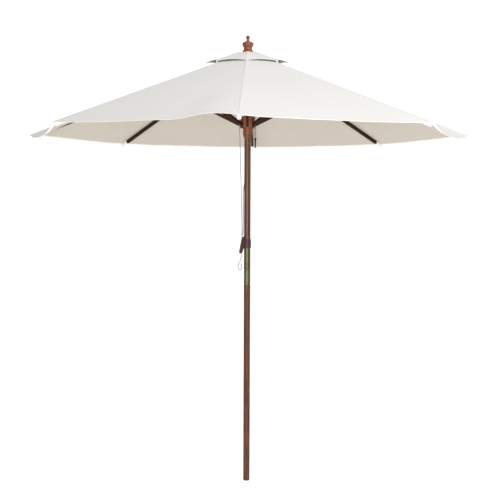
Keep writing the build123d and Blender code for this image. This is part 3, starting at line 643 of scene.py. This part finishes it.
def strap_piece(name, index):
    """Upright tab that ties the vent cap's corner down to the main canopy."""
    azimuth = rib_azimuth(index)
    out = Vector((cos(azimuth), sin(azimuth), 0))
    side = Vector((-sin(azimuth), cos(azimuth), 0))
    top = VENT_RIM_Z - VENT_DROPS[index - 1] - 1 * MM
    foot_radius = VENT_RIM - 4 * MM
    foot = RIM_Z + (RIM_RADIUS - foot_radius) * tan(SLOPE)
    rings = []
    for share in (0.0, 0.25, 0.5, 0.75, 1.0):
        radius = foot_radius + 2 * MM * sin(pi * share)
        height = top + (foot - top) * share
        half_width = (8 - 2 * sin(pi * share)) * MM
        level = Vector((0, 0, height - 4.2 * MM * share))
        ring = []
        for x, depth in ((-1, 0), (1, 0), (1, 1), (-1, 1)):
            ring.append(out * (radius - depth * 1.5 * MM) + side * x * half_width + level)
        rings.append(ring)
    return band_piece(name, rings, [CANOPY_CLOTH])


def stitch_line(panels, across_distance, lift, rows=60):
    """Line of points beside the rib seam, at a fixed distance from it."""
    line = []
    for row in range(rows + 1):
        along = 0.02 + 0.96 * row / rows
        radius = panels.inner + (panels.rim - panels.inner) * along
        line.append(panels.place(across_distance / (radius * sin(HALF_STEP)), along, lift))
    return line


def hem_line(panels, inset, lift, columns=48):
    along = 1 - inset / (panels.rim - panels.inner)
    return [panels.place(0.995 * (2 * c / columns - 1), along, lift) for c in range(columns + 1)]


def sew_gore(index):
    sags = (HEM_SAGS[index - 2], HEM_SAGS[index - 1])
    pucker = PUCKER if index == 1 else 0.0
    panels = Panels(
        index, VENT_OPENING, RIM_RADIUS, RIM_Z, MAIN_RISE, sags, HEM_CURVE, WRINKLE, pucker=pucker)
    gore = sheet_piece(f"gore_{index}", panels, 16, 44)
    hem = hem_piece(f"gore_hem_{index}", panels, 22 * MM, 24)
    seam = seam_piece(f"gore_seam_{index}", panels, 8 * MM, 44)
    lines = [stitch_line(panels, offset, 1.1 * MM) for offset in (-5.5 * MM, 5.5 * MM)]
    lines.append(hem_line(panels, 18 * MM, 1.1 * MM))
    thread = stitches_piece(f"gore_stitches_{index}", lines)
    pocket = pocket_piece(f"corner_pocket_{index}", index)
    for piece in (gore, hem, seam, thread):
        sew_to_rib(piece, index)
    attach(pocket, f"rib_body_{index}")
    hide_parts(f"canopy_gore_{index}")


def sew_vent(index):
    panels = Panels(
        index, CROWN_RADIUS - 1 * MM, VENT_RIM, VENT_RIM_Z, VENT_RISE, (VENT_SAG, VENT_SAG), VENT_CURVE,
        0.5 * MM, VENT_DROPS)
    cap = sheet_piece(f"vent_{index}", panels, 10, 12)
    hem = hem_piece(f"vent_hem_{index}", panels, 14 * MM, 12)
    seam = seam_piece(f"vent_seam_{index}", panels, 6 * MM, 12)
    strap = strap_piece(f"vent_strap_{index}", index)
    thread = stitches_piece(f"vent_stitches_{index}", [hem_line(panels, 11 * MM, 1.1 * MM, 20)])
    for piece in (cap, hem, seam, strap, thread):
        sew_to_rib(piece, index)


def sew_crown():
    """Crown reinforcement: an octagon of doubled cloth clamped by the finial."""
    uvs = []
    steps = [(6 * MM, 0.0), (30 * MM, 0.2 * MM), (55 * MM, 0.3 * MM), (69 * MM, 0.2 * MM)]
    steps.append((CROWN_RADIUS, -0.2 * MM))
    rows = steps + [(radius, lift - CLOTH) for radius, lift in reversed(steps)]
    sides = 64
    points, faces = [], []
    for radius, lift in rows:
        for number in range(sides):
            angle = 2 * pi * number / sides + rib_azimuth(1)
            within = (angle - rib_azimuth(1)) % (pi / 4) - pi / 8
            reach = radius * (cos(HALF_STEP) / cos(within) if radius > 50 * MM else 1)
            points.append(Vector((reach * cos(angle), reach * sin(angle), CROWN_Z + lift)))
            uvs.append((reach * cos(angle), reach * sin(angle)))
    for row in range(len(rows)):
        after = (row + 1) % len(rows)
        for number in range(sides):
            beside = (number + 1) % sides
            faces.append([
                row * sides + number, after * sides + number, after * sides + beside, row * sides + beside])
    patch = mesh_piece("crown_cloth", points, faces, [CANOPY_CLOTH], uvs)
    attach(patch, "mast")
    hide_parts("crown_patch")


for number in range(1, RIBS + 1):
    sew_gore(number)
    sew_vent(number)
sew_crown()

# ---------------------------------------------------------------- floor and light


def make_stage():
    """Pale floor that curves up into a pale wall behind."""
    material, tree = new_material("pale_floor")
    shader = add_node(tree, "ShaderNodeBsdfPrincipled", {}, {
        "Base Color": linear("fbfaf9"), "Roughness": 0.9, "Emission Color": linear("ffffff"),
        "Emission Strength": 0.5})
    finish_material(tree, shader)
    profile = [(-12.0, 0.0), (5.0, 0.0)]
    for step in range(1, 13):
        angle = pi / 2 * step / 12
        profile.append((5.0 + 3.0 * sin(angle), 3.0 - 3.0 * cos(angle)))
    profile.append((8.0, 12.0))
    points = [Vector((x, y, z)) for y, z in profile for x in (-14.0, 14.0)]
    faces = [[2 * i, 2 * i + 1, 2 * i + 3, 2 * i + 2] for i in range(len(profile) - 1)]
    floor = mesh_piece("studio_floor", points, faces, [material])
    floor.visible_glossy = False


def make_light(name, place, aim, energy, size):
    data = bpy.data.lights.new(name, "AREA")
    data.energy = energy
    data.size = size
    light = bpy.data.objects.new(name, data)
    light.location = place
    direction = Vector(aim) - Vector(place)
    light.rotation_euler = direction.to_track_quat("-Z", "Y").to_euler()
    bpy.context.scene.collection.objects.link(light)


def make_light_rig():
    world = bpy.data.worlds.new("studio")
    world.use_nodes = True
    tree = world.node_tree
    tree.nodes.clear()
    sky = add_node(tree, "ShaderNodeBackground", {}, {"Color": (1, 1, 1, 1), "Strength": 0.32})
    add_node(tree, "ShaderNodeOutputWorld", inputs={"Surface": sky.outputs[0]})
    bpy.context.scene.world = world
    make_light("key", (3.2, -3.6, 6.2), (0, 0, 2.2), 250, 3.0)
    make_light("front", (-0.2, -6.4, 1.5), (0, 0, 1.4), 110, 0.8)
    bpy.context.scene.view_settings.view_transform = "Standard"


make_stage()
make_light_rig()
